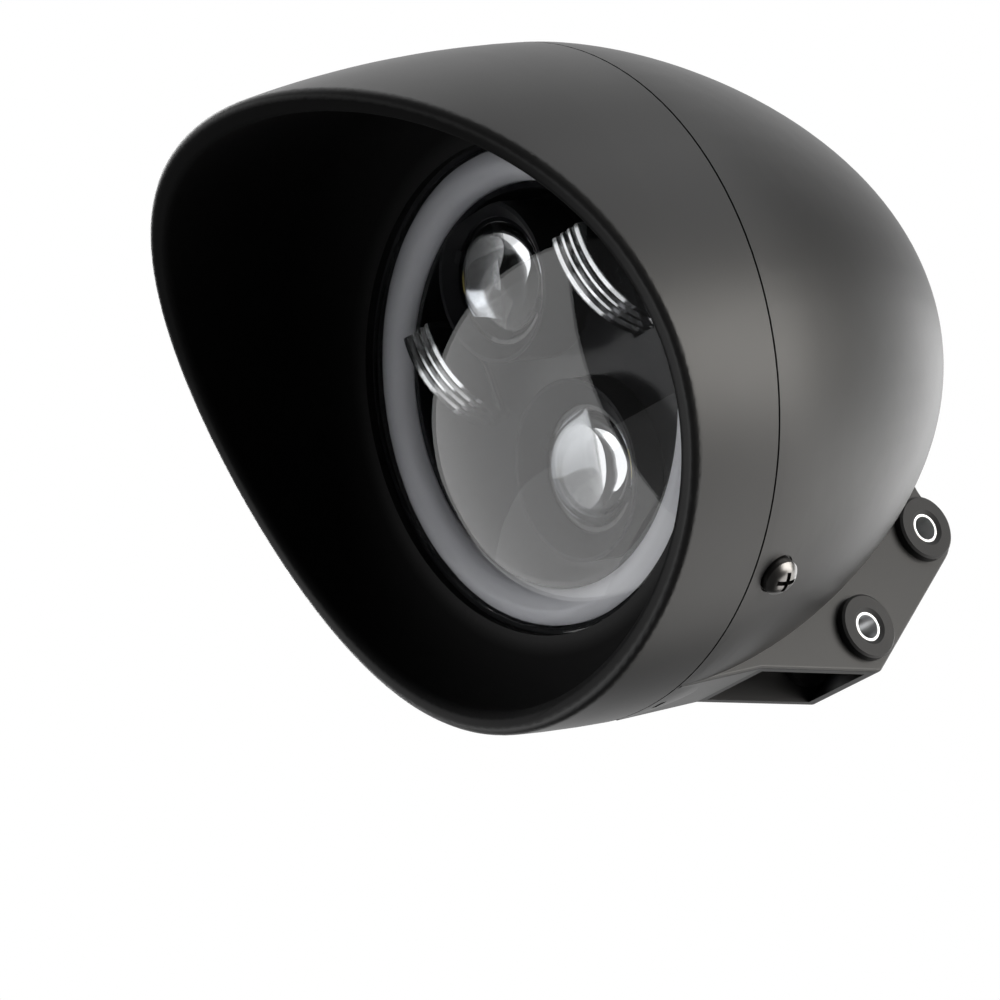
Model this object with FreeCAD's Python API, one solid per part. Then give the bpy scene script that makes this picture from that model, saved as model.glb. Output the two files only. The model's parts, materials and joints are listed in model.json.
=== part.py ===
import FreeCAD, Part
import math
import os

V = FreeCAD.Vector

# The lamp axis is Y, the lens faces -Y, Z is up and the seam of the two shells lies at y = 0.
# Sizes are in millimetres. On export the middle of the lower bolt becomes the origin.

# Lamp insert
LAMP_R = 73.0
FLANGE = 3.0
LENS_OPEN_R = LAMP_R - 5.0
LENS_WALL = 2.4
LENS_APEX = -24.0
LENS_EDGE = -4.6
SEAT_Y = -4.0
GASKET = 1.0
HALO_R = LAMP_R - 8.0
HALO_BAND = 0.129 * LAMP_R
BOARD = 1.6
HALO_BOARD = 1.3
HALO_FOOT = 3.6
HALO_CROWN = 3.4
HALO_SHOULDER = 1.6
HALO_INNER = 1.2
CAVITY_BACK = 19.8
CAVITY_R = LAMP_R - 12.0
BODY_R = LAMP_R - 5.4
BACK_WALL = 4.2
MASK_Y = 12.0
MASK_WALL = 2.0
MASK_R = 0.726 * LAMP_R

# Shells, built round the lamp insert
SHELL_ROOM = 20.5
SEAM_R = LAMP_R + SHELL_ROOM
SHELL_WALL = 3.0
BUCKET_DEPTH = 129.5
BULLET_SIDE = 0.2867
BULLET_TIP = 0.6643
VISOR_ARC_R = 370.0
VISOR_WALL = 6.6
VISOR_REACH = 90.1
RIM_ROUND = 2.6
SEAM_GAP = 0.6
SEAM_GROOVE = 1.0
FIT = 0.2
SPIGOT_WALL = 3.2
SPIGOT_DEPTH = 15.0
BOWL_WALL = 2.6
BOWL_BACK = 4.2

# The rim of the visor is one round sweep seen from the side, its middle dropped from the top of the seam
RIM_SWEEP_R = 205.0
RIM_SWEEP_DROP = 157.9215
RIM_SWEEP_Z = SEAM_R - RIM_SWEEP_DROP

# Visor screws, seen from the front measured from straight down
SCREW_ANGLE = 35.5
SCREW_Y = 9.5
SCREW_R = 2.1
SCREW_HEAD_R = 5.2
SCREW_HEAD_H = 5.6
SPOT_DEPTH = 1.3

# Mounting channel, each place as distance ahead of the bucket's tip and gap below its skin
UPPER_BOLT_AT = (22.9, 11.25)
LOWER_BOLT_AT = (57.3, 12.39)
KNEE_AT = (98.5, 2.66)
HORN_AT = (18.8, 2.12)
CHEEK_OUT = 15.0
CHEEK_WALL = 2.8
BOSS_R = 11.2
LOWER_DROP = 12.8
PAD_Z = 0.9 - SEAM_R
HORN_HOLLOW = 1.2
BOSS_END = 20.0
EDGE_ROUND = 0.9
CORNER_ROUND = 3.0

# Rubber bushes and steel collars for M6 bolts
BUSH_NECK_R = 6.4
BUSH_FLANGE_R = 9.4
BUSH_FLANGE = 2.8
BUSH_BACK_R = 8.1
BUSH_BACK = 2.0
COLLAR_R = 4.2
COLLAR_BORE_R = 3.5
COLLAR_SUNK = 0.8

# Wire hole in the floor of the channel, ahead of the bucket's tip
WIRE_AT = 82.5
WIRE_HOLE_R = 5.0
WIRE_LIP = 1.8

# Optics
UPPER_Z = 0.425 * LAMP_R
UPPER_Y = -0.8
LOWER_Z = -0.3425 * LAMP_R
LOWER_Y = 8.4
OPTIC_R = 0.222 * LAMP_R
OPTIC_DOME = 7.4
OPTIC_RIM = 1.2
OPTIC_EDGE = 2.2
BARREL_WALL = 1.6
UPPER_HOOD_R = 0.305 * LAMP_R
UPPER_REACH = 3.6
LOWER_HOOD_R = 0.3425 * LAMP_R
LOWER_REACH = 5.6
CLIP_W = 4.0
SIDE_X = 0.48 * LAMP_R
SIDE_W = 0.165 * LAMP_R
SIDE_TOP = UPPER_Z
SIDE_ARC_R = 0.3836 * LAMP_R
SIDE_FRONT = -5.6
SIDE_ARC_Y = SIDE_FRONT + SIDE_ARC_R
SIDE_ARC_Z = SIDE_TOP - 3.0
SIDE_BASE = MASK_Y + MASK_WALL
SIDE_LOW = SIDE_ARC_Z - math.sqrt(SIDE_ARC_R ** 2 - (SIDE_ARC_Y - SIDE_BASE) ** 2)
FLUTES = 3
FLUTE_DEPTH = 1.2
SIDE_LED_Z = 18.0

# Rear of the lamp
FIN_PITCH = 8.0
FIN_WALL = 2.4
FIN_DEPTH = 27.0
HUB_R = 18.0
HUB_DEPTH = 21.0
POCKET_R = 14.0
LID = 2.4
DRIVER_POST = 4.0
DRIVER_POST_R = 3.0
CHOKE_W = 12.0
CHOKE_LONG = 10.0
CHOKE_TALL = 6.0
CHOKE_Z = -2.0
GLAND_R = 5.0
GLAND_FLANGE_R = 6.5
GLAND_FLANGE = 1.6
GLAND_NOSE_R = 4.6
GLAND_NOSE = 5.0
GLAND_BORE_R = 2.6

# Screws inside the lamp: shank radius, grip or length, head radius and head height
RING_SCREW_R = 1.9
RING_SCREW_LONG = 7.0
RING_SCREW_HEAD_R = 3.6
RING_SCREW_HEAD_H = 2.3
BOARD_SCREW_R = 1.5
BOARD_SCREW_GRIP = 3.0
BOARD_SCREW_HEAD_R = 2.6
BOARD_SCREW_HEAD_H = 1.8
COVER_SCREW_R = 0.9
COVER_SCREW_GRIP = 4.0
COVER_SCREW_HEAD_R = 1.9
COVER_SCREW_HEAD_H = 1.4


def poly(points):
    vectors = [V(a, b, 0) for a, b in points]
    return [Part.makeLine(p, q) for p, q in zip(vectors, vectors[1:])]


def arc(a, b, c):
    return [Part.Arc(V(*a, 0), V(*b, 0), V(*c, 0)).toShape()]


def turned(edges):
    # Edges drawn as (radius, y), turned about the lamp axis
    solid = Part.Face(Part.Wire(edges)).revolve(V(0, 0, 0), V(0, 1, 0), 360)
    if solid.Volume < 0:
        solid.reverse()
    return solid


def ring(points):
    return turned(poly(points + points[:1]))


def along_y(radius, y0, y1, x=0, z=0):
    return Part.makeCylinder(radius, y1 - y0, V(x, y0, z), V(0, 1, 0))


def along_x(radius, x0, x1, place):
    return Part.makeCylinder(radius, x1 - x0, V(x0, *place), V(1, 0, 0))


def block(x0, x1, y0, y1, z0, z1):
    return Part.makeBox(x1 - x0, y1 - y0, z1 - z0, V(x0, y0, z0))


def side_prism(edges, half):
    # Edges drawn as (y, z), stretched across the middle plane
    wire = Part.Wire(edges)
    wire.rotate(V(0, 0, 0), V(1, 1, 1), 120)
    wire.translate(V(-half, 0, 0))
    return Part.Face(wire).extrude(V(2 * half, 0, 0))


def seated(shape, place, direction):
    # Turns a shape drawn along +Z to a direction and puts it in place
    turn = FreeCAD.Placement(place, FreeCAD.Rotation(V(0, 0, 1), direction))
    moved = shape.copy()
    moved.Placement = turn.multiply(moved.Placement)
    return moved


def pan_screw(shank_r, shank, head_r, head_h):
    # Head above z = 0, shank below, with a cross recess
    lines = poly([(0, -shank), (shank_r, -shank), (shank_r, 0), (head_r, 0), (head_r, 0.6 * head_h)])
    lines += arc((head_r, 0.6 * head_h), (0.62 * head_r, 0.9 * head_h), (0, head_h))
    lines += poly([(0, head_h), (0, -shank)])
    screw = turned(lines)
    screw.rotate(V(0, 0, 0), V(1, 0, 0), 90)
    slot = 0.13 * head_r
    deep = 0.45 * head_h
    for long, wide in ((0.58 * head_r, slot), (slot, 0.58 * head_r)):
        screw = screw.cut(block(-long, long, -wide, wide, deep, 2 * head_h))
    return screw


def bullet(radius, depth):
    # One smooth curve from the seam to the tip
    curve = Part.BezierCurve()
    curve.setPoles([V(radius, 0, 0), V(radius, BULLET_SIDE * depth, 0), V(BULLET_TIP * radius, depth, 0),
                    V(0, depth, 0)])
    return [curve.toShape()]


def bullet_r(y, inset=0):
    # Radius of the bullet curve at a distance behind the seam, found by halving
    share = y / (BUCKET_DEPTH - inset)
    low = 0.0
    high = 1.0
    for i in range(50):
        t = 0.5 * (low + high)
        if 3 * (1 - t) ** 2 * t * BULLET_SIDE + 3 * (1 - t) * t ** 2 + t ** 3 < share:
            low = t
        else:
            high = t
    return (SEAM_R - inset) * ((1 - t) ** 3 + 3 * (1 - t) ** 2 * t + 3 * (1 - t) * t ** 2 * BULLET_TIP)


def visor_r(y, inset=0):
    radius = VISOR_ARC_R - inset
    return SEAM_R - VISOR_ARC_R + math.sqrt(radius ** 2 - y ** 2)


def below_skin(ahead, gap):
    # Place (y, z) under the bucket
    y = BUCKET_DEPTH - ahead
    return (y, -bullet_r(y) - gap)


def spread(radius, angles):
    return [(radius * math.cos(math.radians(a)), radius * math.sin(math.radians(a))) for a in angles]


parts = {}
UPPER_BOLT = below_skin(*UPPER_BOLT_AT)
LOWER_BOLT = below_skin(*LOWER_BOLT_AT)
KNEE = below_skin(*KNEE_AT)
HORN = below_skin(*HORN_AT)

# Rear shell
inner_r = SEAM_R - SHELL_WALL
inner_depth = BUCKET_DEPTH - SHELL_WALL
outer = turned(bullet(SEAM_R, BUCKET_DEPTH) + poly([(0, BUCKET_DEPTH), (0, 0), (SEAM_R, 0)]))
cavity = turned(bullet(inner_r, inner_depth) + poly([(0, inner_depth), (0, -1), (inner_r, -1), (inner_r, 0)]))
shell = outer.cut(cavity)

# Screw seats
tilt = math.radians(SCREW_ANGLE)
screw_ways = [V(side * math.sin(tilt), 0, -math.cos(tilt)) for side in (-1, 1)]
screw_seat = bullet_r(SCREW_Y) - SPOT_DEPTH
screw_in = 0.8 * SEAM_R
for way in screw_ways:
    middle = V(0, SCREW_Y, 0)
    head_room = Part.makeCylinder(SCREW_HEAD_R + 0.6, SEAM_R - screw_in, way * screw_seat + middle, way)
    shank_room = Part.makeCylinder(SCREW_R + 0.4, SEAM_R - screw_in, way * screw_in + middle, way)
    shell = shell.cut(head_room).cut(shank_room)

# Outline of the mounting channel from the side
corner = (LOWER_BOLT[0] + 1.3, LOWER_BOLT[1] - LOWER_DROP)
reach = (UPPER_BOLT[0] - corner[0], UPPER_BOLT[1] - corner[1])
span = math.hypot(*reach)
slope = math.atan2(reach[1], reach[0]) - math.asin(BOSS_R / span)
web_along = (math.cos(slope), math.sin(slope))
web_out = (math.sin(slope), -math.cos(slope))


def boss_point(radius, angle):
    return (UPPER_BOLT[0] + radius * math.cos(angle), UPPER_BOLT[1] + radius * math.sin(angle))


boss_start = slope - 0.5 * math.pi
boss_end = math.radians(BOSS_END)
boss_middle = 0.5 * (boss_start + boss_end)
touch = boss_point(BOSS_R, boss_start)
leave = boss_point(BOSS_R, boss_end)
hollow_run = (HORN[0] - leave[0], HORN[1] - leave[1])
hollow_long = math.hypot(*hollow_run)
hollow = (0.5 * (HORN[0] + leave[0]) - HORN_HOLLOW * hollow_run[1] / hollow_long,
          0.5 * (HORN[1] + leave[1]) + HORN_HOLLOW * hollow_run[0] / hollow_long)
inside_rear = (0.73 * BUCKET_DEPTH, -0.325 * SEAM_R)
inside_front = (1.0, -0.67 * SEAM_R)
outline = poly([(1.0, PAD_Z), KNEE, corner, touch])
outline += arc(touch, boss_point(BOSS_R, boss_middle), leave)
outline += arc(leave, hollow, HORN)
outline += poly([HORN, inside_rear, inside_front, (1.0, PAD_Z)])
bracket = side_prism(outline, CHEEK_OUT)
foot = [e for e in bracket.Edges if abs(e.CenterOfMass.y - corner[0]) < 0.1 and abs(e.CenterOfMass.x) < 0.1
        and abs(e.CenterOfMass.z - corner[1]) < 0.1]
bracket = bracket.makeFillet(CORNER_ROUND, foot)
edges = [e for e in bracket.Edges if abs(abs(e.CenterOfMass.x) - CHEEK_OUT) < 0.01
         and e.CenterOfMass.y > 5 and e.CenterOfMass.z < HORN[1]]
bracket = bracket.makeFillet(EDGE_ROUND, edges)

# Hollow of the channel, open to the front and below, down to the skin of the bucket
web_touch = boss_point(BOSS_R - CHEEK_WALL, boss_start)
web_leave = boss_point(BOSS_R - CHEEK_WALL, boss_end)
run_down = 1.8 * span
web_low = (web_touch[0] - run_down * web_along[0], web_touch[1] - run_down * web_along[1])
front_low = (KNEE[0] + 2, web_low[1] - 5)
channel = poly([front_low, (KNEE[0] + 2, -0.776 * SEAM_R), inside_rear, (HORN[0] - 4, HORN[1] + 2),
                web_leave])
channel += arc(web_leave, boss_point(BOSS_R - CHEEK_WALL, boss_middle), web_touch)
channel += poly([web_touch, web_low, front_low])
channel = side_prism(channel, CHEEK_OUT - CHEEK_WALL).cut(outer)
bucket = shell.fuse(bracket.cut(cavity).cut(channel))
for bolt in (UPPER_BOLT, LOWER_BOLT):
    bucket = bucket.cut(along_x(BUSH_NECK_R, -CHEEK_OUT - 5, CHEEK_OUT + 5, bolt))

# Drain slot at the seam and wire hole
bucket = bucket.cut(block(-2.5, 2.5, 3.2, 5.2, -SEAM_R - 5, -SEAM_R + 8))
WIRE_Y = BUCKET_DEPTH - WIRE_AT
wire_slope = (bullet_r(WIRE_Y - 1) - bullet_r(WIRE_Y + 1)) / 2
wire_way = V(0, wire_slope, -1).normalize()
wire_skin = V(0, WIRE_Y, -bullet_r(WIRE_Y))
wire_start = wire_skin - wire_way * 4 * SHELL_WALL
bucket = bucket.cut(Part.makeCylinder(WIRE_HOLE_R, 8 * SHELL_WALL, wire_start, wire_way))
parts["bucket"] = bucket.removeSplitter()

# Middle of the rim sweep, set so that the tip of the hood stands at its reach
tip_height = visor_r(VISOR_REACH) - RIM_SWEEP_Z
RIM_SWEEP_Y = -VISOR_REACH - math.sqrt(RIM_SWEEP_R ** 2 - tip_height ** 2)
BOWL_START = RIM_SWEEP_Y + RIM_SWEEP_R + BOWL_BACK

# Front shell: skin, bowl, lamp seat and spigot
spigot_r = bullet_r(SPIGOT_DEPTH, SHELL_WALL) - FIT
spigot_in = spigot_r - SPIGOT_WALL
wall_r = visor_r(BOWL_START, VISOR_WALL)
lip_y = SEAT_Y - BOWL_WALL
bowl_drop = lip_y - BOWL_START
bowl_run = wall_r - LENS_OPEN_R
bowl_r = (bowl_run ** 2 + bowl_drop ** 2) / (2 * bowl_run)
bowl_mid = wall_r - bowl_r


def bowl_y(r, extra=0):
    return BOWL_START + math.sqrt((bowl_r + extra) ** 2 - (r - bowl_mid) ** 2)


tip = -VISOR_REACH - RIM_ROUND - VISOR_WALL
skin_out = arc((SEAM_R, -SEAM_GAP), (visor_r(0.5 * tip), 0.5 * tip), (visor_r(tip), tip))
skin_in = arc((visor_r(tip, VISOR_WALL), tip),
              (visor_r(0.6 * tip, VISOR_WALL), 0.6 * tip), (wall_r, BOWL_START))
bowl_half = 0.5 * (wall_r + LENS_OPEN_R)
bowl = arc((wall_r, BOWL_START), (bowl_half + 4, bowl_y(bowl_half + 4)), (LENS_OPEN_R, lip_y))
centring = LAMP_R + 0.4
centring_out = centring + 2.0
back_half = 0.5 * (centring_out + spigot_in)
bowl_back = arc((centring_out, bowl_y(centring_out, BOWL_WALL)),
                (back_half, bowl_y(back_half, BOWL_WALL)), (spigot_in, bowl_y(spigot_in, BOWL_WALL)))
profile = skin_out + poly([(visor_r(tip), tip), (visor_r(tip, VISOR_WALL), tip)]) + skin_in + bowl
profile += poly([(LENS_OPEN_R, lip_y), (LENS_OPEN_R, SEAT_Y), (centring, SEAT_Y), (centring, FLANGE),
                 (centring_out, FLANGE), (centring_out, bowl_y(centring_out, BOWL_WALL))])
profile += bowl_back
profile += poly([(spigot_in, bowl_y(spigot_in, BOWL_WALL)), (spigot_in, SPIGOT_DEPTH),
                 (spigot_r, SPIGOT_DEPTH), (spigot_r, 0), (SEAM_R - SEAM_GROOVE, 0),
                 (SEAM_R - SEAM_GROOVE, -SEAM_GAP), (SEAM_R, -SEAM_GAP)])
visor = turned(profile)

# The rim sweep, then the rounded lip
sweep = along_x(RIM_SWEEP_R, -SEAM_R - 10, SEAM_R + 10, (RIM_SWEEP_Y, RIM_SWEEP_Z))
visor = visor.cut(sweep)
lip = [e for e in visor.Edges if abs(math.hypot(e.Vertexes[0].Y - RIM_SWEEP_Y,
                                                e.Vertexes[0].Z - RIM_SWEEP_Z) - RIM_SWEEP_R) < 0.01
       and abs(math.hypot(e.Vertexes[-1].Y - RIM_SWEEP_Y, e.Vertexes[-1].Z - RIM_SWEEP_Z) - RIM_SWEEP_R) < 0.01]
visor = visor.makeFillet(RIM_ROUND, lip)

# Bosses for the retaining ring and for the visor screws
front_room = turned(bowl + poly([(LENS_OPEN_R, lip_y), (0, lip_y), (0, tip),
                                 (wall_r, tip), (wall_r, BOWL_START)]))
boss_ring = 0.5 * (centring_out + spigot_in)
boss_places = spread(boss_ring, (45, 135, 225, 315))
for x, z in boss_places:
    visor = visor.fuse(along_y(4.0, lip_y - 6, FLANGE, x, z).cut(front_room))
for x, z in boss_places:
    visor = visor.cut(along_y(RING_SCREW_R, FLANGE - RING_SCREW_LONG - 1, FLANGE + 1, x, z))
for way in screw_ways:
    start = way * (spigot_in - 5) + V(0, SCREW_Y, 0)
    visor = visor.fuse(Part.makeCylinder(4.6, 6, start, way))
for way in screw_ways:
    start = way * (spigot_in - 6) + V(0, SCREW_Y, 0)
    visor = visor.cut(Part.makeCylinder(SCREW_R, 14, start, way))
parts["visor"] = visor.removeSplitter()

# Visor screws
screw_long = screw_seat - spigot_in + 4
screws = []
for way in screw_ways:
    screw = pan_screw(SCREW_R, screw_long, SCREW_HEAD_R, SCREW_HEAD_H)
    screws.append(seated(screw, way * screw_seat + V(0, SCREW_Y, 0), way))
parts["visor_screws"] = Part.makeCompound(screws)

# Bushes and collars in the cheeks, each drawn along +Z away from the middle plane
cheek_in = CHEEK_OUT - CHEEK_WALL
bush_out = CHEEK_OUT + BUSH_FLANGE
bush_back = cheek_in - BUSH_BACK
collar_end = bush_out - COLLAR_SUNK
mouth = 1.2
bush_lines = [(COLLAR_R, bush_back), (BUSH_BACK_R, bush_back), (BUSH_BACK_R, cheek_in), (BUSH_NECK_R, cheek_in),
              (BUSH_NECK_R, CHEEK_OUT), (BUSH_FLANGE_R, CHEEK_OUT), (BUSH_FLANGE_R, bush_out - 0.6),
              (BUSH_FLANGE_R - 0.6, bush_out), (COLLAR_R + mouth, bush_out), (COLLAR_R, collar_end)]
collar_lines = [(COLLAR_BORE_R, bush_back), (COLLAR_R, bush_back), (COLLAR_R, collar_end),
                (COLLAR_BORE_R, collar_end)]
for level, bolt in (("upper", UPPER_BOLT), ("lower", LOWER_BOLT)):
    for side, way in (("left", V(1, 0, 0)), ("right", V(-1, 0, 0))):
        for name, lines in (("grommet", bush_lines), ("collar", collar_lines)):
            bush = ring(lines)
            bush.rotate(V(0, 0, 0), V(1, 0, 0), 90)
            parts[level + "_" + side + "_" + name] = seated(bush, V(0, *bolt), way)

# Bush of the wire hole, drawn with the outer skin of the bucket at z = 0
hole_lines = [(WIRE_HOLE_R - 2, -SHELL_WALL - 0.5 - WIRE_LIP), (WIRE_HOLE_R + 2, -SHELL_WALL - 0.5 - WIRE_LIP),
              (WIRE_HOLE_R + 2, -SHELL_WALL - 0.5), (WIRE_HOLE_R, -SHELL_WALL - 0.5), (WIRE_HOLE_R, 0),
              (WIRE_HOLE_R + 2, 0), (WIRE_HOLE_R + 1.2, WIRE_LIP), (WIRE_HOLE_R - 2, WIRE_LIP)]
hole_bush = ring(hole_lines)
hole_bush.rotate(V(0, 0, 0), V(1, 0, 0), 90)
parts["wiring_grommet"] = seated(hole_bush, wire_skin, wire_way)

# Lamp fixing
flange_front = SEAT_Y + GASKET
parts["lamp_gasket"] = ring([(LENS_OPEN_R + 0.4, SEAT_Y), (LAMP_R, SEAT_Y), (LAMP_R, flange_front),
                             (LENS_OPEN_R + 0.4, flange_front)])
ring_back = FLANGE + 1.2
clamp = ring([(BODY_R + 0.4, FLANGE), (spigot_in - 2, FLANGE), (spigot_in - 2, ring_back),
              (BODY_R + 0.4, ring_back)])
screws = []
for x, z in boss_places:
    clamp = clamp.cut(along_y(RING_SCREW_R + 0.3, FLANGE - 1, ring_back + 1, x, z))
    screw = pan_screw(RING_SCREW_R, RING_SCREW_LONG, RING_SCREW_HEAD_R, RING_SCREW_HEAD_H)
    screws.append(seated(screw, V(x, ring_back, z), V(0, 1, 0)))
parts["retaining_ring"] = clamp
parts["ring_screws"] = Part.makeCompound(screws)

# Cover lens, a dome with a flat flange
edge_r = LENS_OPEN_R - 0.6
sag = LENS_EDGE - LENS_APEX
dome_r = (edge_r ** 2 + sag ** 2) / (2 * sag)
dome_y = LENS_APEX + dome_r
lens_in = HALO_R + 0.4


def dome(r, inset=0):
    return dome_y - math.sqrt((dome_r - inset) ** 2 - r ** 2)


dome_end = dome(lens_in, LENS_WALL)
lens = arc((0, LENS_APEX), (0.5 * edge_r, dome(0.5 * edge_r)), (edge_r, LENS_EDGE))
lens += poly([(edge_r, LENS_EDGE), (edge_r, flange_front), (LAMP_R - 1, flange_front), (LAMP_R - 1, 0),
              (lens_in, 0), (lens_in, dome_end)])
lens += arc((lens_in, dome_end), (0.5 * lens_in, dome(0.5 * lens_in, LENS_WALL)), (0, LENS_APEX + LENS_WALL))
lens += poly([(0, LENS_APEX + LENS_WALL), (0, LENS_APEX)])
parts["cover_lens"] = turned(lens)

# Frosted ring, its board and light sources
halo_in = HALO_R - HALO_BAND
halo_back = HALO_FOOT - 1.0
halo = poly([(halo_in, HALO_FOOT), (halo_in, HALO_INNER)])
halo += arc((halo_in, HALO_INNER), (halo_in + 0.52 * HALO_BAND, -HALO_CROWN), (HALO_R, -HALO_SHOULDER))
halo += poly([(HALO_R, -HALO_SHOULDER), (HALO_R, HALO_FOOT), (HALO_R - 1, HALO_FOOT), (HALO_R - 1, halo_back),
              (halo_in + 1.4, halo_back), (halo_in + 1.4, HALO_FOOT), (halo_in, HALO_FOOT)])
parts["halo_ring"] = turned(halo)
ledge = HALO_FOOT + HALO_BOARD
parts["halo_board"] = ring([(halo_in + 0.2, HALO_FOOT), (HALO_R + 0.2, HALO_FOOT), (HALO_R + 0.2, ledge),
                            (halo_in + 0.2, ledge)])
chips = []
for i in range(24):
    chip = block(HALO_R - 6, HALO_R - 3, HALO_FOOT - 0.8, HALO_FOOT, -1.4, 1.4)
    chip.rotate(V(0, 0, 0), V(0, 1, 0), 15 * i)
    chips.append(chip)
parts["halo_leds"] = Part.makeCompound(chips)

# Die-cast body with fins and a round pocket for the electronics
seal_in = LAMP_R - 4.6
seal_out = LAMP_R - 2.4
body_back = CAVITY_BACK + BACK_WALL
body = ring([(LAMP_R, 0), (LAMP_R, FLANGE), (BODY_R, FLANGE), (BODY_R, body_back - 4), (BODY_R - 4, body_back),
             (0, body_back), (0, CAVITY_BACK), (CAVITY_R, CAVITY_BACK), (CAVITY_R, ledge), (lens_in, ledge),
             (lens_in, 0), (seal_in, 0), (seal_in, 1.4), (seal_out, 1.4), (seal_out, 0)])
parts["lens_seal"] = ring([(seal_in, 0), (seal_out, 0), (seal_out, 1.4), (seal_in, 1.4)])
fin_back = body_back + FIN_DEPTH
fin_room = ring([(0, body_back - 0.5), (BODY_R - 4, body_back - 0.5), (BODY_R - 5, body_back + 5),
                 (BODY_R - 18, fin_back), (0, fin_back)])
fin_count = int((BODY_R - 8) / FIN_PITCH)
fins = []
for i in range(-fin_count, fin_count + 1):
    x = i * FIN_PITCH
    fins.append(block(x - 0.5 * FIN_WALL, x + 0.5 * FIN_WALL, body_back - 0.5, fin_back, -BODY_R, BODY_R))
fins = Part.makeCompound(fins).common(fin_room)
hub_back = body_back + HUB_DEPTH
hub = along_y(HUB_R, body_back - 0.5, hub_back)
open_hub = along_y(HUB_R + 3, hub_back, fin_back + 1)
body = body.fuse(fins.Solids).fuse(hub).cut(open_hub)
pocket_floor = body_back + 2
body = body.cut(along_y(POCKET_R, pocket_floor, hub_back + 1))
lid_places = spread(0.5 * (HUB_R + POCKET_R), (30, 150, 270))
for x, z in lid_places:
    body = body.cut(along_y(COVER_SCREW_R, hub_back - COVER_SCREW_GRIP - 2, hub_back + 1, x, z))
board_places = spread(MASK_R + 1, (-5, 90, 185, 270))
for x, z in board_places:
    body = body.cut(along_y(BOARD_SCREW_R, CAVITY_BACK - 1, CAVITY_BACK + BOARD_SCREW_GRIP + 0.4, x, z))
vent = (0.5 * FIN_PITCH, -0.55 * LAMP_R)
body = body.cut(along_y(1.8, CAVITY_BACK - 1, body_back + 1, *vent))
parts["lamp_housing"] = body.removeSplitter()
breather_cap = along_y(2.6, body_back, body_back + 3, *vent)
parts["breather"] = along_y(1.8, CAVITY_BACK, body_back, *vent).fuse(breather_cap)

# Electronics pocket
pocket_board = pocket_floor + DRIVER_POST
driver = along_y(POCKET_R, pocket_board, pocket_board + BOARD)
driver = driver.fuse(along_y(DRIVER_POST_R, pocket_floor, pocket_board))
choke = block(-0.5 * CHOKE_W, 0.5 * CHOKE_W, pocket_board + BOARD, pocket_board + CHOKE_TALL,
              CHOKE_Z - 0.5 * CHOKE_LONG, CHOKE_Z + 0.5 * CHOKE_LONG)
parts["driver_board"] = driver.fuse(choke)
lid = along_y(HUB_R, hub_back, hub_back + LID).cut(along_y(GLAND_R, hub_back - 1, hub_back + LID + 1))
screws = []
for x, z in lid_places:
    lid = lid.cut(along_y(COVER_SCREW_R + 0.3, hub_back - 1, hub_back + LID + 1, x, z))
    screw = pan_screw(COVER_SCREW_R, LID + COVER_SCREW_GRIP, COVER_SCREW_HEAD_R, COVER_SCREW_HEAD_H)
    screws.append(seated(screw, V(x, hub_back + LID, z), V(0, 1, 0)))
parts["driver_cover"] = lid
parts["cover_screws"] = Part.makeCompound(screws)
gland_end = hub_back + LID
gland_start = hub_back - GLAND_FLANGE
gland_tip = gland_end + GLAND_NOSE
gland_lines = [(GLAND_BORE_R, gland_start), (GLAND_FLANGE_R, gland_start), (GLAND_FLANGE_R, hub_back),
               (GLAND_R, hub_back), (GLAND_R, gland_end), (GLAND_FLANGE_R, gland_end),
               (GLAND_FLANGE_R, gland_end + GLAND_FLANGE), (GLAND_NOSE_R, gland_tip), (GLAND_BORE_R, gland_tip)]
parts["cable_gland"] = ring(gland_lines)

# Beam board, its light sources and screws
board_front = CAVITY_BACK - BOARD
beam_board = along_y(CAVITY_R - 2, board_front, CAVITY_BACK)
screws = []
for x, z in board_places:
    beam_board = beam_board.cut(along_y(BOARD_SCREW_R + FIT, board_front - 1, CAVITY_BACK + 1, x, z))
    screw = pan_screw(BOARD_SCREW_R, BOARD + BOARD_SCREW_GRIP, BOARD_SCREW_HEAD_R, BOARD_SCREW_HEAD_H)
    screws.append(seated(screw, V(x, board_front, z), V(0, -1, 0)))
parts["beam_board"] = beam_board
parts["board_screws"] = Part.makeCompound(screws)
chips = []
for x, z in ((0, UPPER_Z), (0, LOWER_Z), (SIDE_X, SIDE_LED_Z), (-SIDE_X, SIDE_LED_Z)):
    chips.append(block(x - 2.5, x + 2.5, board_front - 0.9, board_front, z - 2.5, z + 2.5))
parts["beam_leds"] = Part.makeCompound(chips)

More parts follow.
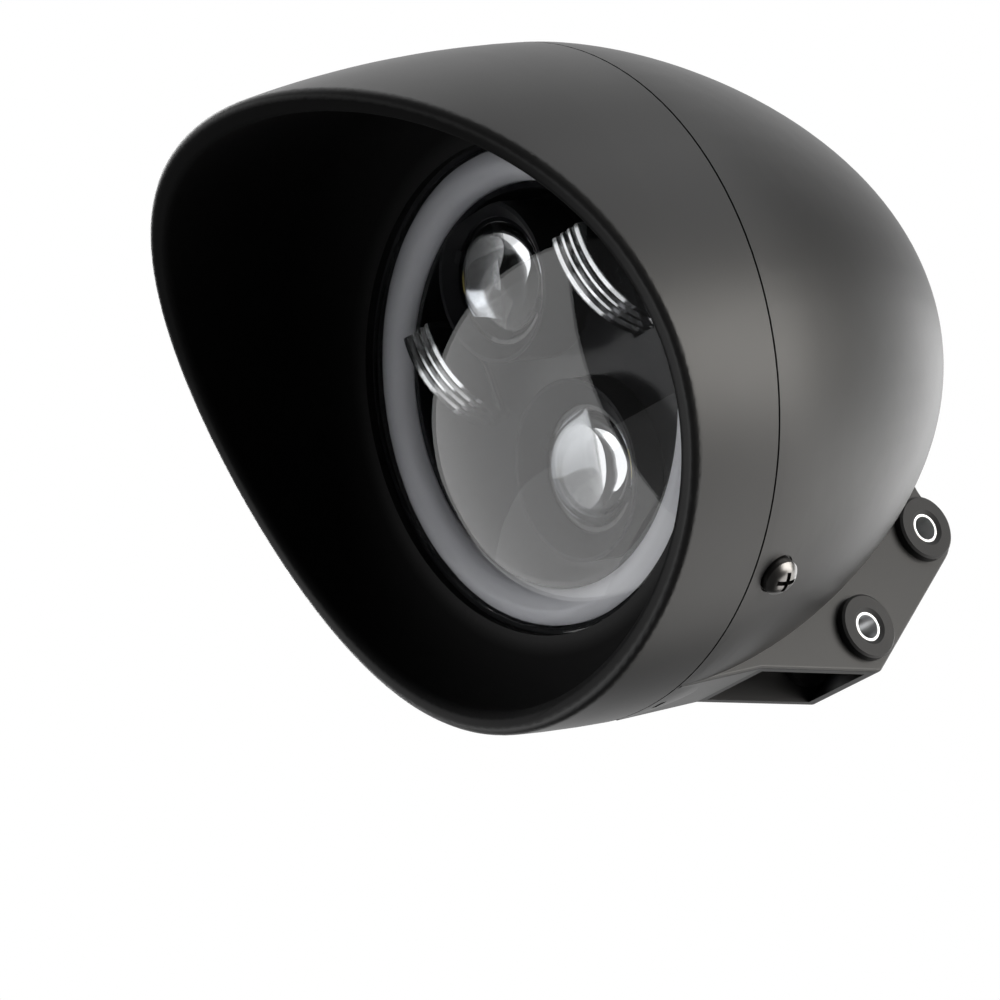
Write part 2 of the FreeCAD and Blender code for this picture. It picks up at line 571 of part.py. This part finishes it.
# Projector lenses with their barrels and reflectors
flange_r = OPTIC_R + OPTIC_RIM
barrel_r = flange_r + FIT + BARREL_WALL
barrel_in = OPTIC_R - 0.8
hood_room = MASK_R - 2.2
projectors = (("upper", UPPER_Y, UPPER_Z, UPPER_HOOD_R, UPPER_REACH, 5.0),
              ("lower", LOWER_Y, LOWER_Z, LOWER_HOOD_R, LOWER_REACH, 1.4))
for name, y, z, hood_r, hood_reach, setback in projectors:
    seat = y + OPTIC_EDGE
    crown = (OPTIC_R * 0.62, y - OPTIC_DOME * 0.68)
    optic = arc((0, y - OPTIC_DOME), crown, (OPTIC_R, y))
    optic += poly([(OPTIC_R, y), (flange_r, y), (flange_r, seat), (0, seat), (0, y - OPTIC_DOME)])
    optic = turned(optic)
    optic.translate(V(0, 0, z))
    parts[name + "_projector_lens"] = optic
    barrel = ring([(flange_r + FIT, y - 0.6), (hood_r - 1.2, y - hood_reach), (hood_r, y - hood_reach),
                   (hood_r, MASK_Y + MASK_WALL), (barrel_r, MASK_Y + MASK_WALL), (barrel_r, board_front),
                   (barrel_in, board_front), (barrel_in, seat), (flange_r + FIT, seat)])
    for turn in (45, 225):
        clip = block(OPTIC_R + FIT, barrel_r, y - 1.5, y, -0.5 * CLIP_W, 0.5 * CLIP_W)
        clip.rotate(V(0, 0, 0), V(0, 1, 0), turn)
        barrel = barrel.fuse(clip)
    barrel = barrel.removeSplitter()
    barrel.translate(V(0, 0, z))
    parts[name + "_barrel"] = barrel.common(along_y(hood_room, LENS_APEX, CAVITY_BACK))
    throat = 4.4
    mouth_r = barrel_in - 1.2
    mouth_y = seat + setback
    deep = board_front - mouth_y
    bowl_lines = arc((throat, board_front), (0.72 * mouth_r, mouth_y + 0.62 * deep), (mouth_r, mouth_y))
    bowl_lines += poly([(mouth_r, mouth_y), (barrel_in, mouth_y), (barrel_in, mouth_y + 1)])
    bowl_lines += arc((barrel_in, mouth_y + 1), (0.72 * mouth_r + 1.3, mouth_y + 0.62 * deep + 0.6),
                      (throat + 1.6, board_front))
    bowl_lines += poly([(throat + 1.6, board_front), (throat, board_front)])
    reflector = turned(bowl_lines)
    if name == "upper":
        reflector = reflector.cut(block(-hood_r, hood_r, y, CAVITY_BACK, -hood_r, 0))
    reflector.translate(V(0, 0, z))
    parts[name + "_reflector"] = reflector

# Black mask behind the ring
cone_r = halo_in - 0.4
mask_edge = 1.4
mask = ring([(cone_r, mask_edge), (cone_r - 0.8, ledge), (CAVITY_R - 0.4, ledge), (CAVITY_R - 0.4, ledge + 1.5),
             (cone_r - 1.0, ledge + 1.5), (MASK_R, MASK_Y + MASK_WALL), (0, MASK_Y + MASK_WALL), (0, MASK_Y),
             (MASK_R - 1.6, MASK_Y), (cone_r - 1.6, mask_edge)])
for name, y, z, hood_r, hood_reach, setback in projectors:
    opening = along_y(hood_r + FIT, 0, CAVITY_BACK, 0, z)
    mask = mask.cut(opening.common(along_y(hood_room + FIT, 0, CAVITY_BACK)))
half = 0.5 * SIDE_W
for side in (-1, 1):
    x = side * SIDE_X
    mask = mask.cut(block(x - half - 0.3, x + half + 0.3, 0, CAVITY_BACK, SIDE_LOW - 0.3, SIDE_TOP + 0.3))
for x, z in spread(MASK_R - 4, (-23, 56.5, 123.5, 203)):
    mask = mask.fuse(along_y(2.2, MASK_Y + MASK_WALL - 0.5, board_front, x, z))
parts["inner_bezel"] = mask.removeSplitter()

# Clear side lenses, rounded from front to underside, with flutes along the curve
top_y = SIDE_ARC_Y - math.sqrt(SIDE_ARC_R ** 2 - (SIDE_TOP - SIDE_ARC_Z) ** 2)
turn = math.radians(215)
knee = (SIDE_ARC_Y + SIDE_ARC_R * math.cos(turn), SIDE_ARC_Z + SIDE_ARC_R * math.sin(turn))
side_lines = arc((top_y, SIDE_TOP), knee, (SIDE_BASE, SIDE_LOW))
side_lines += poly([(SIDE_BASE, SIDE_LOW), (SIDE_BASE, SIDE_TOP), (top_y, SIDE_TOP)])
for name, side in (("left", 1), ("right", -1)):
    x = side * SIDE_X
    glass = side_prism(side_lines, half)
    for i in range(FLUTES):
        at = SIDE_W * ((i + 1) / (FLUTES + 1) - 0.5)
        groove = [V(at - FLUTE_DEPTH, SIDE_ARC_Y, SIDE_ARC_Z + SIDE_ARC_R + 0.2),
                  V(at + FLUTE_DEPTH, SIDE_ARC_Y, SIDE_ARC_Z + SIDE_ARC_R + 0.2),
                  V(at, SIDE_ARC_Y, SIDE_ARC_Z + SIDE_ARC_R - FLUTE_DEPTH)]
        cutter = Part.Face(Part.makePolygon(groove + groove[:1]))
        cutter = cutter.revolve(V(0, SIDE_ARC_Y, SIDE_ARC_Z), V(1, 0, 0), 360)
        glass = glass.cut(cutter)
    glass.translate(V(x, 0, 0))
    glass = glass.fuse(block(x - half - 1.5, x + half + 1.5, SIDE_BASE, SIDE_BASE + 1.5,
                             SIDE_LOW - 1.5, SIDE_TOP + 1.5))
    for peg in (SIDE_LOW + 3, SIDE_TOP - 3):
        glass = glass.fuse(along_y(1.5, SIDE_BASE + 1.5, board_front, x, peg))
    parts[name + "_side_lens"] = glass.removeSplitter()

# One STEP file for each piece, moved so that the middle of the lower bolt is the origin
os.makedirs("parts", exist_ok=True)
for name, shape in parts.items():
    shape = shape.copy()
    shape.translate(V(0, -LOWER_BOLT[0], -LOWER_BOLT[1]))
    shape.exportStep("parts/" + name + ".step")
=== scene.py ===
import json
import math

import bpy
from mathutils import Matrix, Vector


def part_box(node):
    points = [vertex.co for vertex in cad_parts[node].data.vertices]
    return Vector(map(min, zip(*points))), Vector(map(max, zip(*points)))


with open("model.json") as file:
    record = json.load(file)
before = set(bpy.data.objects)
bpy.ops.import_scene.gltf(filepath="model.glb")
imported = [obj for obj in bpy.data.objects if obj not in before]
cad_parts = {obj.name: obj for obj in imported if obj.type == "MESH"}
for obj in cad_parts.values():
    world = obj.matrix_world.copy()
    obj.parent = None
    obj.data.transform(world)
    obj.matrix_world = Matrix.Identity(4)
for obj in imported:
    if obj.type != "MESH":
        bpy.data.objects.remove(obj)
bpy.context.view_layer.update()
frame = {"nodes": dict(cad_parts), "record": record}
pieces = frame["nodes"]

# Reference places of the lamp, read from the frame
lens_low, lens_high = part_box("cover_lens")
side_low, side_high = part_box("left_side_lens")
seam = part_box("bucket")[0].y
lamp_middle = Vector((0.0, seam, 0.5 * (lens_low.z + lens_high.z)))

# Camera: the photograph's view of the lamp, in degrees, metres and millimetres of lens
CAMERA_AZIMUTH = 48.99
CAMERA_ELEVATION = -11.69
CAMERA_ROLL = -18.08
CAMERA_DISTANCE = 1.2
CAMERA_SLIDE = 0.011182
CAMERA_LIFT = 0.03123
CAMERA_LENS = 158.2
CAMERA_CLIP = (0.05, 50.0)
SENSOR = 36.0

# The room seen in reflections: direction of the pale back wall, cosine where it fades out, and levels
BACK_WALL = (222, 65)
BACK_WALL_EDGE = 0.45
ROOM_DARK = 0.05
ROOM_PALE = 1.05

# The white backdrop behind the lamp, as the cosine of the angle from the line of sight
BACKDROP_EDGE = 0.55
BACKDROP_FULL = 0.97

# Softboxes: name, azimuth, elevation, distance, width, height, power and colour
NEUTRAL = (1, 1, 1)
SOFTBOXES = (
    ("right_softbox", 122, -11, 1.3, 1.2, 0.72, 16.5, (1.0, 0.97, 0.92)),
    ("upper_softbox", 124, 32, 1.3, 1.1, 0.9, 4, NEUTRAL),
    ("low_softbox", 160, -50, 1.3, 1.3, 1.5, 13, (1.0, 0.98, 0.95)),
    ("rear_softbox", 190, -6, 1.4, 0.8, 0.7, 4, NEUTRAL),
    ("left_softbox", -42, 1, 1.4, 1.75, 2.4, 15, NEUTRAL),
    ("side_softbox", -101, 25, 1.4, 0.8, 1.4, 16, NEUTRAL),
)

# The lamp hangs from its bolts, so the floor lies well below it
FLOOR_DROP = 0.9
FLOOR_HALF = 6.0

# Grain: shares of the fine and the slow pattern in the sheen, and the band of them that sets it
FINE_SHARE = 0.35
SLOW_SHARE = 0.65
SHEEN_BAND = (0.3, 0.7)
DRIFT_SCALE = 25.0

# Clear pieces: faint flow marks from moulding, and the tint of light that passes to what lies behind
FLOW_SCALE = 900.0
FLOW_HEIGHT = 0.0000002
FLOW_DRIFT = 60.0
CLEAR_SHEEN = (0.0, 0.01)
PASSING_TINT = (0.94, 0.95, 0.96, 1)

# Side lenses: flutes inside a flange, in metres, where a rib's bright crest starts and is full as shares
# of the pitch, and the share of light that the ribs turn back
SIDE_LENS_FLUTES = 4
SIDE_LENS_FLANGE = 0.0015
RIB_CREST = (0.06, 0.24)
RIB_TURN_BACK = 0.75
RIB_TONE = (0.95, 0.96, 0.97, 1)
BRIGHT_ROUGHNESS = 0.12

# Tinned pads on the boards behind the side lenses
PAD_TONE = (0.88, 0.89, 0.90, 1)

# Shells: satin black outside; inside the hood a flat black with a darker tone, painted shade in the
# hood's hollow
SHELL_FINISH = {
    "tone": (0.012, 0.012, 0.0124),
    "drift": (0.015, 0.015, 0.0155),
    "sheen": (0.40, 0.46),
    "grain_scale": 2600.0,
    "grain_height": 0.000006,
}
# Painted shade: the darker tone inside the hood
HOOD_PAINTED_SHADE_TONE = (0.010, 0.010, 0.0103, 1)
HOOD_INSIDE_ROUGHNESS = 0.85
HOOD_GLOSS = (0.09, 0.5)
HOOD_TURN = (-0.3, 0.3)

# Facets nearer than this are joined, in metres, and corners sharper than this stay crisp, in degrees
JOINED_GAP = 0.000002
CRISP_CORNER = 30


def direction(azimuth, elevation):
    a = math.radians(azimuth)
    e = math.radians(elevation)
    return Vector((math.sin(a) * math.cos(e), -math.cos(a) * math.cos(e), math.sin(e)))


# Shader helpers


def place(tree, kind, **settings):
    node = tree.nodes.new(kind)
    for key, value in settings.items():
        setattr(node, key, value)
    return node


def feed(tree, socket, value):
    # Link a socket to another, or set it to a plain value
    if isinstance(value, bpy.types.NodeSocket):
        tree.links.new(value, socket)
    else:
        socket.default_value = value


def maths(tree, operation, *values):
    node = place(tree, "ShaderNodeMath", operation=operation)
    for socket, value in zip(node.inputs, values):
        feed(tree, socket, value)
    return node.outputs["Value"]


def vector_maths(tree, operation, result, *values):
    node = place(tree, "ShaderNodeVectorMath", operation=operation)
    for socket, value in zip(node.inputs, values):
        feed(tree, socket, value)
    return node.outputs[result]


def spread(tree, value, source, target=(0.0, 1.0), **settings):
    # Map a value from one span to another
    node = place(tree, "ShaderNodeMapRange", **settings)
    feed(tree, node.inputs["Value"], value)
    for socket, number in zip(("From Min", "From Max", "To Min", "To Max"), (*source, *target)):
        feed(tree, node.inputs[socket], number)
    return node.outputs["Result"]


def blend(tree, kind, share, first, second):
    node = place(tree, "ShaderNodeMix", data_type=kind)
    for socket, value in zip(("Factor", "A", "B"), (share, first, second)):
        feed(tree, node.inputs[socket], value)
    return node.outputs["Result"]


def group_socket(group, name, flow, kind, value=None):
    socket = group.interface.new_socket(name=name, in_out=flow, socket_type=kind)
    if value is not None:
        socket.default_value = value


def make_grain_group():
    # Fine mould grain with a slow drift of tone and sheen
    group = bpy.data.node_groups.new("surface_grain", "ShaderNodeTree")
    group_socket(group, "Tone", "INPUT", "NodeSocketColor", (0.02, 0.02, 0.02, 1))
    group_socket(group, "Drift Tone", "INPUT", "NodeSocketColor", (0.03, 0.03, 0.03, 1))
    group_socket(group, "Sheen Low", "INPUT", "NodeSocketFloat", 0.35)
    group_socket(group, "Sheen High", "INPUT", "NodeSocketFloat", 0.45)
    group_socket(group, "Grain Scale", "INPUT", "NodeSocketFloat", 1500.0)
    group_socket(group, "Drift Scale", "INPUT", "NodeSocketFloat", DRIFT_SCALE)
    group_socket(group, "Colour", "OUTPUT", "NodeSocketColor")
    group_socket(group, "Roughness", "OUTPUT", "NodeSocketFloat")
    group_socket(group, "Height", "OUTPUT", "NodeSocketFloat")
    entry = place(group, "NodeGroupInput").outputs
    result = place(group, "NodeGroupOutput").inputs
    where = place(group, "ShaderNodeTexCoord").outputs["Object"]
    patterns = []
    for scale, detail in (("Grain Scale", 3.0), ("Drift Scale", 4.0)):
        noise = place(group, "ShaderNodeTexNoise")
        feed(group, noise.inputs["Vector"], where)
        feed(group, noise.inputs["Scale"], entry[scale])
        feed(group, noise.inputs["Detail"], detail)
        patterns.append(noise.outputs["Fac"])
    fine, slow = patterns
    tone = blend(group, "RGBA", slow, entry["Tone"], entry["Drift Tone"])
    both = maths(group, "MULTIPLY_ADD", fine, FINE_SHARE, maths(group, "MULTIPLY", slow, SLOW_SHARE))
    sheen = spread(group, both, SHEEN_BAND, (entry["Sheen Low"], entry["Sheen High"]))
    feed(group, result["Colour"], tone)
    feed(group, result["Roughness"], sheen)
    feed(group, result["Height"], fine)
    return group


grain_group = make_grain_group()


def shader_of(material):
    return material.node_tree.nodes["Principled BSDF"].inputs


def grain_of(material):
    return material.node_tree.nodes["Grain"].outputs


def grained(name, tone, drift, sheen, grain_scale, grain_height, drift_scale=DRIFT_SCALE):
    # A material whose tone, sheen and relief come from the grain group
    material = bpy.data.materials.new(name)
    material.use_nodes = True
    tree = material.node_tree
    tree.nodes.clear()
    output = place(tree, "ShaderNodeOutputMaterial")
    finish = place(tree, "ShaderNodeBsdfPrincipled")
    grain = place(tree, "ShaderNodeGroup", node_tree=grain_group, name="Grain")
    bump = place(tree, "ShaderNodeBump")
    feed(tree, grain.inputs["Tone"], (*tone, 1))
    feed(tree, grain.inputs["Drift Tone"], (*drift, 1))
    feed(tree, grain.inputs["Sheen Low"], sheen[0])
    feed(tree, grain.inputs["Sheen High"], sheen[1])
    feed(tree, grain.inputs["Grain Scale"], grain_scale)
    feed(tree, grain.inputs["Drift Scale"], drift_scale)
    feed(tree, bump.inputs["Strength"], 1.0)
    feed(tree, bump.inputs["Distance"], grain_height)
    feed(tree, bump.inputs["Height"], grain.outputs["Height"])
    feed(tree, finish.inputs["Base Color"], grain.outputs["Colour"])
    feed(tree, finish.inputs["Roughness"], grain.outputs["Roughness"])
    feed(tree, finish.inputs["Normal"], bump.outputs["Normal"])
    feed(tree, output.inputs["Surface"], finish.outputs["BSDF"])
    return material


def metal(*finish):
    material = grained(*finish)
    shader_of(material)["Metallic"].default_value = 1.0
    return material


def dull(level, *finish):
    # A finish with less gloss than plain plastic
    material = grained(*finish)
    shader_of(material)["Specular IOR Level"].default_value = level
    return material


def lay_over(material, share, cover):
    # Show another shader in place of the surface, by a share
    tree = material.node_tree
    surface = tree.nodes["Material Output"].inputs["Surface"]
    below = surface.links[0].from_socket
    mix = place(tree, "ShaderNodeMixShader")
    for socket, value in zip(mix.inputs, (share, below, cover)):
        feed(tree, socket, value)
    feed(tree, surface, mix.outputs["Shader"])


def clear(name, tint, index):
    # Clear plastic or glass that lets lamp light through to what lies behind
    material = grained(name, tint, tint, CLEAR_SHEEN, FLOW_SCALE, FLOW_HEIGHT, FLOW_DRIFT)
    tree = material.node_tree
    shader_of(material)["Transmission Weight"].default_value = 1.0
    shader_of(material)["IOR"].default_value = index
    passing = place(tree, "ShaderNodeBsdfTransparent")
    feed(tree, passing.inputs["Color"], PASSING_TINT)
    path = place(tree, "ShaderNodeLightPath")
    lay_over(material, path.outputs["Is Shadow Ray"], passing.outputs["BSDF"])
    return material


def place_aside(tree):
    # Distance from the lamp's middle plane, and height
    where = place(tree, "ShaderNodeTexCoord").outputs["Object"]
    split = place(tree, "ShaderNodeSeparateXYZ")
    feed(tree, split.inputs["Vector"], where)
    return maths(tree, "ABSOLUTE", split.outputs["X"]), split.outputs["Z"]


def side_lens_finish():
    # Clear plastic whose ribs between the flutes turn the light back like a mirror
    material = clear("fluted_side_lens", (0.97, 0.98, 0.99), 1.49)
    tree = material.node_tree
    aside, _ = place_aside(tree)
    first = side_low.x + SIDE_LENS_FLANGE
    pitch = (side_high.x - side_low.x - 2 * SIDE_LENS_FLANGE) / SIDE_LENS_FLUTES
    across = spread(tree, aside, (first, first + pitch), clamp=False)
    rib = maths(tree, "PINGPONG", across, 0.5)
    crest = spread(tree, rib, RIB_CREST, (0.0, RIB_TURN_BACK), interpolation_type="SMOOTHSTEP")
    turned = place(tree, "ShaderNodeBsdfPrincipled")
    feed(tree, turned.inputs["Base Color"], RIB_TONE)
    feed(tree, turned.inputs["Metallic"], 1.0)
    feed(tree, turned.inputs["Roughness"], BRIGHT_ROUGHNESS)
    lay_over(material, crest, turned.outputs["BSDF"])
    return material


def board_finish():
    # Black solder mask with a tinned pad behind each side lens
    material = grained("black_board", (0.014, 0.016, 0.015), (0.02, 0.022, 0.021),
                       (0.35, 0.5), 1800.0, 0.000006)
    tree = material.node_tree
    aside, height = place_aside(tree)
    middle = 0.5 * (side_low + side_high)
    half = 0.5 * (side_high - side_low)
    within_width = maths(tree, "COMPARE", aside, middle.x, half.x)
    within_height = maths(tree, "COMPARE", height, middle.z, half.z)
    pad = maths(tree, "MULTIPLY", within_width, within_height)
    grain = grain_of(material)
    shader = shader_of(material)
    tone = blend(tree, "RGBA", pad, grain["Colour"], PAD_TONE)
    sheen = blend(tree, "FLOAT", pad, grain["Roughness"], BRIGHT_ROUGHNESS)
    feed(tree, shader["Base Color"], tone)
    feed(tree, shader["Roughness"], sheen)
    feed(tree, shader["Metallic"], pad)
    return material


def hood_finish_with_painted_shade():
    # Satin outside like the bucket; where the skin faces the lamp's axis, flat black with a darker tone,
    # painted shade inside the hood
    material = grained("hood_black_painted_shade", **SHELL_FINISH)
    tree = material.node_tree
    where = place(tree, "ShaderNodeTexCoord").outputs
    from_middle = vector_maths(tree, "SUBTRACT", "Vector", where["Object"], lamp_middle)
    across = vector_maths(tree, "MULTIPLY", "Vector", from_middle, (1, 0, 1))
    outward = vector_maths(tree, "NORMALIZE", "Vector", across)
    facing = vector_maths(tree, "DOT_PRODUCT", "Value", outward, where["Normal"])
    outside = spread(tree, facing, HOOD_TURN)
    grain = grain_of(material)
    shader = shader_of(material)
    # Painted shade: darker tone, lower gloss and more roughness where the skin faces the lamp's axis
    tone = blend(tree, "RGBA", outside, HOOD_PAINTED_SHADE_TONE, grain["Colour"])
    sheen = blend(tree, "FLOAT", outside, HOOD_INSIDE_ROUGHNESS, grain["Roughness"])
    gloss = spread(tree, outside, (0.0, 1.0), HOOD_GLOSS)
    feed(tree, shader["Base Color"], tone)
    feed(tree, shader["Roughness"], sheen)
    feed(tree, shader["Specular IOR Level"], gloss)
    return material


# Finishes by material slot: tone, drift of tone, sheen, grains per metre and grain height in metres
finishes = {
    "shell": grained("satin_black_shell", **SHELL_FINISH),
    "black_screw": metal("black_zinc_screw", (0.17, 0.165, 0.16), (0.22, 0.215, 0.21),
                         (0.24, 0.36), 1800.0, 0.000008),
    "rubber": grained("bush_rubber", (0.012, 0.012, 0.013), (0.018, 0.018, 0.019),
                      (0.55, 0.7), 2200.0, 0.00002),
    "bright_steel": metal("bright_zinc_collar", (0.90, 0.91, 0.92), (0.84, 0.85, 0.86),
                          (0.42, 0.52), 2400.0, 0.000004),
    "zinc_plate": metal("zinc_plate", (0.58, 0.58, 0.57), (0.46, 0.47, 0.47),
                        (0.25, 0.4), 1500.0, 0.000006),
    "cast_aluminium": grained("cast_black_housing", (0.025, 0.025, 0.027), (0.04, 0.04, 0.042),
                              (0.45, 0.65), 1600.0, 0.00003),
    "clear_cover": clear("clear_cover", (0.98, 0.985, 0.99), 1.55),
    "clear_optic": clear("clear_optic", (0.97, 0.98, 0.99), 1.5),
    "frosted": grained("frosted_light_ring", (0.74, 0.74, 0.78), (0.82, 0.82, 0.85),
                       (0.3, 0.4), 2400.0, 0.000004),
    "gloss_black": dull(0.3, "gloss_black_mask", (0.006, 0.006, 0.007), (0.009, 0.009, 0.010),
                        (0.18, 0.22), 600.0, 0.0000001),
    "mirror": metal("metallised_bowl", (0.93, 0.94, 0.95), (0.88, 0.89, 0.91),
                    (0.10, 0.18), 1000.0, 0.000003),
    "board": board_finish(),
    "light_source": grained("phosphor_chip", (0.80, 0.62, 0.10), (0.86, 0.72, 0.20),
                            (0.3, 0.5), 3000.0, 0.00001),
}

# Pieces whose finish differs from the rest of their slot
matt_barrel = dull(0.15, "matt_black_barrel", (0.004, 0.004, 0.005), (0.006, 0.006, 0.007),
                   (0.5, 0.65), 1500.0, 0.000006)
side_clear = side_lens_finish()
special = {
    "visor": hood_finish_with_painted_shade(),
    "upper_barrel": matt_barrel,
    "lower_barrel": matt_barrel,
    "left_side_lens": side_clear,
    "right_side_lens": side_clear,
}
slot_of = {row["node"]: row["material_slot"] for row in frame["record"]["subparts"]}
for name, piece in pieces.items():
    for material_slot in piece.material_slots:
        material_slot.material = special.get(name, finishes[slot_of[name]])

# Even shading over the tips of the turned clear domes and along the start lines of the turned shells
for name in ("cover_lens", "upper_projector_lens", "lower_projector_lens", "visor", "bucket"):
    weld = pieces[name].modifiers.new("joined_facets", "WELD")
    weld.merge_threshold = JOINED_GAP
    corners = pieces[name].modifiers.new("crisp_corners", "EDGE_SPLIT")
    corners.split_angle = math.radians(CRISP_CORNER)
    corners.use_edge_sharp = False
    even = pieces[name].modifiers.new("even_shading", "WEIGHTED_NORMAL")
    even.mode = "FACE_AREA_WITH_ANGLE"
    even.keep_sharp = True


def add_floor():
    low = lamp_middle.z - FLOOR_DROP
    sides = ((-1, -1), (1, -1), (1, 1), (-1, 1))
    mesh = bpy.data.meshes.new("floor")
    mesh.from_pydata([(x * FLOOR_HALF, y * FLOOR_HALF, low) for x, y in sides], [], [(0, 1, 2, 3)])
    pale = grained("pale_floor", (0.80, 0.80, 0.80), (0.83, 0.83, 0.83), (0.7, 0.8), 40.0, 0.0)
    mesh.materials.append(pale)
    floor = bpy.data.objects.new("floor", mesh)
    bpy.context.collection.objects.link(floor)
    floor.visible_glossy = False
    floor.visible_diffuse = False


def add_softbox(name, azimuth, elevation, distance, width, height, power, colour):
    light = bpy.data.lights.new(name, "AREA")
    light.shape = "RECTANGLE"
    light.size = width
    light.size_y = height
    light.energy = power
    light.color = colour
    lamp = bpy.data.objects.new(name, light)
    way = direction(azimuth, elevation)
    lamp.location = lamp_middle + way * distance
    lamp.rotation_mode = "QUATERNION"
    lamp.rotation_quaternion = (-way).to_track_quat("-Z", "Y")
    lamp.visible_camera = False
    bpy.context.collection.objects.link(lamp)


def toward(tree, way, edge, full, target=(0.0, 1.0)):
    # Level of the room that rises softly towards one direction
    where = place(tree, "ShaderNodeTexCoord").outputs["Generated"]
    cosine = vector_maths(tree, "DOT_PRODUCT", "Value", where, way)
    return spread(tree, cosine, (edge, full), target, interpolation_type="SMOOTHSTEP")


def add_world():
    # White where the camera looks and behind the lamp in reflections, else a dark room with a paler wall
    world = bpy.data.worlds.new("studio_room")
    bpy.context.scene.world = world
    world.use_nodes = True
    tree = world.node_tree
    tree.nodes.clear()
    path = place(tree, "ShaderNodeLightPath").outputs
    wall = toward(tree, direction(*BACK_WALL), BACK_WALL_EDGE, 1.0, (ROOM_DARK, ROOM_PALE))
    backdrop = toward(tree, -direction(CAMERA_AZIMUTH, CAMERA_ELEVATION), BACKDROP_EDGE, BACKDROP_FULL)
    mirrored = maths(tree, "MAXIMUM", path["Is Glossy Ray"], path["Is Transmission Ray"])
    shown = maths(tree, "MULTIPLY", mirrored, backdrop)
    white = maths(tree, "MAXIMUM", path["Is Camera Ray"], shown)
    room = place(tree, "ShaderNodeBackground")
    feed(tree, room.inputs["Color"], (1, 1, 1, 1))
    feed(tree, room.inputs["Strength"], blend(tree, "FLOAT", white, wall, 1.0))
    output = place(tree, "ShaderNodeOutputWorld")
    feed(tree, output.inputs["Surface"], room.outputs["Background"])


def add_camera():
    back = direction(CAMERA_AZIMUTH, CAMERA_ELEVATION)
    level_right = (-back).cross(Vector((0, 0, 1))).normalized()
    level_up = level_right.cross(-back)
    roll = math.radians(CAMERA_ROLL)
    right = math.cos(roll) * level_right + math.sin(roll) * level_up
    up = math.cos(roll) * level_up - math.sin(roll) * level_right
    lens = bpy.data.cameras.new("camera")
    lens.lens = CAMERA_LENS
    lens.sensor_width = SENSOR
    lens.clip_start, lens.clip_end = CAMERA_CLIP
    camera = bpy.data.objects.new("camera", lens)
    turn = Matrix((right, up, back)).transposed().to_4x4()
    spot = lamp_middle + CAMERA_DISTANCE * back - CAMERA_SLIDE * right - CAMERA_LIFT * up
    camera.matrix_world = Matrix.Translation(spot) @ turn
    bpy.context.collection.objects.link(camera)
    bpy.context.scene.camera = camera


add_floor()
for softbox in SOFTBOXES:
    add_softbox(*softbox)
add_world()
add_camera()
bpy.context.scene.view_settings.view_transform = "Standard"
